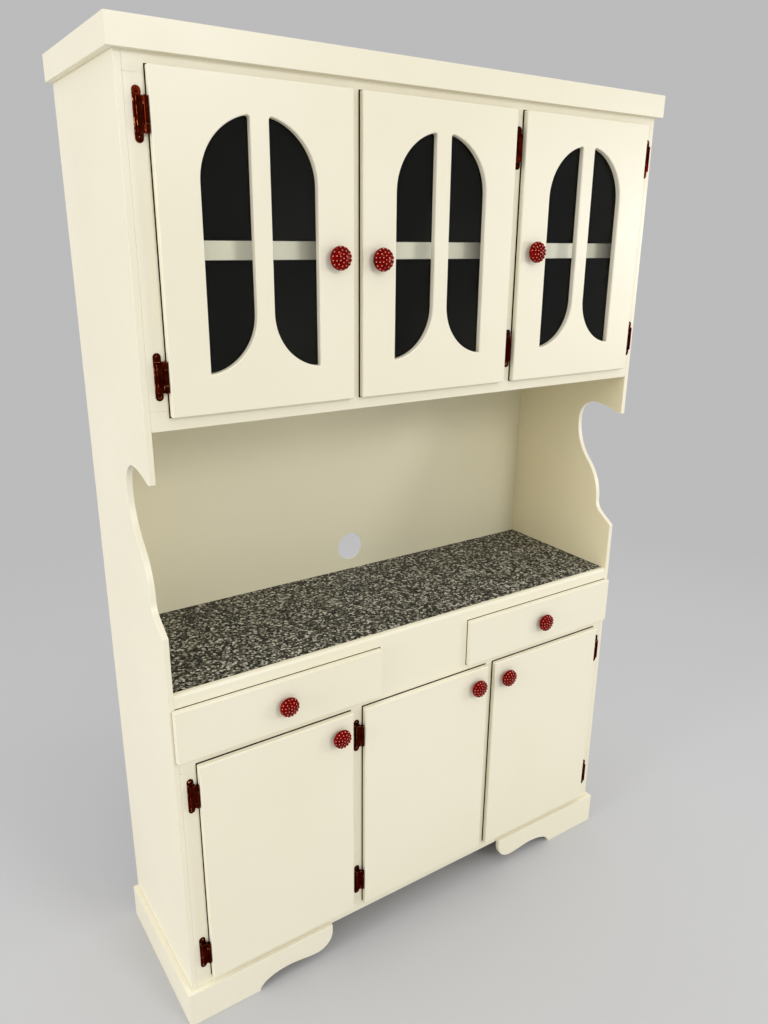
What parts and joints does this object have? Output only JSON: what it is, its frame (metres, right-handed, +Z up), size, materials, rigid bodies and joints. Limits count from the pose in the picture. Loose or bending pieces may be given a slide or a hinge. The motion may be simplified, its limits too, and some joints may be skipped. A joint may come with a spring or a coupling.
{
  "type": "china cabinet",
  "caption": "Tall painted china cabinet: cupboard doors and drawers below a worktop, an open bay with scalloped sides, and glazed doors with arched windows above.",
  "frame": {"origin": "on the floor, in the middle of the cabinet's whole box", "axes": "+X to the cabinet's right seen from the front, +Y to its back, +Z up"},
  "size_m": [1.226, 0.4014, 1.924],
  "materials": {
    "painted_board": "satin cream paint",
    "back_board": "thin board, painted cream inside",
    "dark_board": "matt black paint",
    "speckled_top": "board with a grey speckled stone-effect surface",
    "plain_pine": "sanded and unpainted",
    "clear_glass": "clear",
    "red_knob": "dark red gloss",
    "old_copper": "dark antique copper plating"
  },
  "bodies": {
    "carcass": {"side_left": "painted_board", "side_right": "painted_board", "back_panel": "back_board", "top_panel": "painted_board", "crown_front": "painted_board", "crown_left": "painted_board", "crown_right": "painted_board", "upper_floor": "painted_board", "upper_shelf": "dark_board", "shelf_lipping": "painted_board", "upper_rails": "painted_board", "upper_stiles": "painted_board", "counter_rail": "painted_board", "base_rails": "painted_board", "base_stiles": "painted_board", "drawer_bay_panel": "painted_board", "worktop": "speckled_top", "drawer_partitions": "plain_pine", "drawer_runners": "plain_pine", "base_floor": "painted_board", "plinth_left": "painted_board", "plinth_right": "painted_board", "bracket_left": "painted_board", "bracket_right": "painted_board", "hinge_frame_leaves": "old_copper", "hinge_pins": "old_copper", "hinge_frame_screws": "old_copper"},
    "upper_left_leaf": {"upper_left_door": "painted_board", "upper_left_glass": "clear_glass", "upper_left_clips": "plain_pine", "upper_left_knob": "red_knob", "upper_left_hinge_leaves": "old_copper"},
    "upper_middle_leaf": {"upper_middle_door": "painted_board", "upper_middle_glass": "clear_glass", "upper_middle_clips": "plain_pine", "upper_middle_knob": "red_knob", "upper_middle_hinge_leaves": "old_copper"},
    "upper_right_leaf": {"upper_right_door": "painted_board", "upper_right_glass": "clear_glass", "upper_right_clips": "plain_pine", "upper_right_knob": "red_knob", "upper_right_hinge_leaves": "old_copper"},
    "lower_left_leaf": {"lower_left_door": "painted_board", "lower_left_knob": "red_knob", "lower_left_hinge_leaves": "old_copper"},
    "lower_middle_leaf": {"lower_middle_door": "painted_board", "lower_middle_knob": "red_knob", "lower_middle_hinge_leaves": "old_copper"},
    "lower_right_leaf": {"lower_right_door": "painted_board", "lower_right_knob": "red_knob", "lower_right_hinge_leaves": "old_copper"},
    "left_drawer": {"left_drawer_front": "painted_board", "left_drawer_box": "plain_pine", "left_drawer_bottom": "plain_pine", "left_drawer_knob": "red_knob"},
    "right_drawer": {"right_drawer_front": "painted_board", "right_drawer_box": "plain_pine", "right_drawer_bottom": "plain_pine", "right_drawer_knob": "red_knob"}
  },
  "joints": [
    {"name": "upper_left_door_swing", "type": "hinge", "parent": "carcass", "child": "upper_left_leaf", "pos_m": [-0.5585, -0.17175, 1.595], "axis": [0, 0, -1], "range_deg": [0, 95]},
    {"name": "upper_middle_door_swing", "type": "hinge", "parent": "carcass", "child": "upper_middle_leaf", "pos_m": [0.1875, -0.17175, 1.595], "axis": [0, 0, 1], "range_deg": [0, 95]},
    {"name": "upper_right_door_swing", "type": "hinge", "parent": "carcass", "child": "upper_right_leaf", "pos_m": [0.572, -0.17175, 1.595], "axis": [0, 0, 1], "range_deg": [0, 95]},
    {"name": "lower_left_door_swing", "type": "hinge", "parent": "carcass", "child": "lower_left_leaf", "pos_m": [-0.5585, -0.17175, 0.371], "axis": [0, 0, -1], "range_deg": [0, 95]},
    {"name": "lower_middle_door_swing", "type": "hinge", "parent": "carcass", "child": "lower_middle_leaf", "pos_m": [-0.1735, -0.17175, 0.371], "axis": [0, 0, -1], "range_deg": [0, 95]},
    {"name": "lower_right_door_swing", "type": "hinge", "parent": "carcass", "child": "lower_right_leaf", "pos_m": [0.566, -0.17175, 0.371], "axis": [0, 0, 1], "range_deg": [0, 95]},
    {"name": "left_drawer_slide", "type": "slide", "parent": "carcass", "child": "left_drawer", "axis": [0, -1, 0], "range_m": [0, 0.27]},
    {"name": "right_drawer_slide", "type": "slide", "parent": "carcass", "child": "right_drawer", "axis": [0, -1, 0], "range_m": [0, 0.27]}
  ]
}
